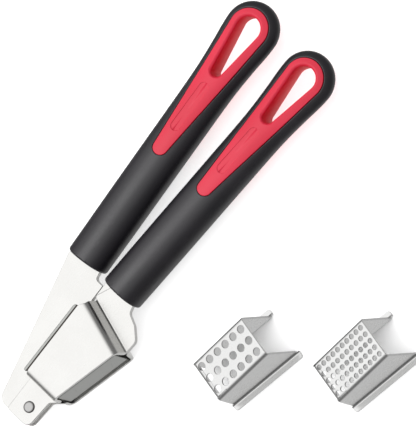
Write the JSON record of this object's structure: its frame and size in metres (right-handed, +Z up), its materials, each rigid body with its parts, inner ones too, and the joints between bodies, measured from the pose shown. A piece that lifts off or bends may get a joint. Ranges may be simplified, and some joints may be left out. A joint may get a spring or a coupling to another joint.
{
  "type": "garlic press",
  "caption": "Hand garlic press with a wedge-shaped steel hopper, a U-shaped plunger, two-colour grips with hanging loops, and loose coarse and fine sieve inserts.",
  "frame": {"origin": "on the table, in the middle of the flat side of the hopper that the press rests on", "axes": "+Z up from the table and along the pivot rivet, +X along the lower grip towards its hanging loop, +Y towards the upper lever"},
  "size_m": [0.2078, 0.1664, 0.0268],
  "materials": {
    "lever_steel": "satin stainless steel sheet",
    "plunger_steel": "satin stainless steel sheet",
    "rivet_steel": "polished stainless steel",
    "insert_steel": "satin stainless steel sheet",
    "red_core": "fine matt red moulded plastic",
    "black_sleeve": "soft matt charcoal overmoulding"
  },
  "bodies": {
    "lower_lever": {"hopper_plate_left": "lever_steel", "hopper_plate_right": "lever_steel", "pivot_rivet": "rivet_steel", "lower_tang_rivets": "rivet_steel", "lower_grip_core": "red_core", "lower_grip_sleeve": "black_sleeve"},
    "upper_lever": {"lever_plate_left": "lever_steel", "lever_plate_right": "lever_steel", "plunger": "plunger_steel", "upper_tang_rivets": "rivet_steel", "upper_grip_core": "red_core", "upper_grip_sleeve": "black_sleeve"},
    "coarse_insert": {"coarse_insert": "insert_steel"},
    "fine_insert": {"fine_insert": "insert_steel"}
  },
  "joints": [
    {"name": "lever_hinge", "type": "hinge", "parent": "lower_lever", "child": "upper_lever", "pos_m": [-0.03, 0.003, 0.0119], "axis": [0, 0, 1], "range_deg": [0, 150]},
    {"name": "coarse_insert_lift", "type": "slide", "parent": "lower_lever", "child": "coarse_insert", "axis": [0, 0, 1], "range_m": [0, 0.06]},
    {"name": "fine_insert_lift", "type": "slide", "parent": "lower_lever", "child": "fine_insert", "axis": [0, 0, 1], "range_m": [0, 0.06]}
  ]
}
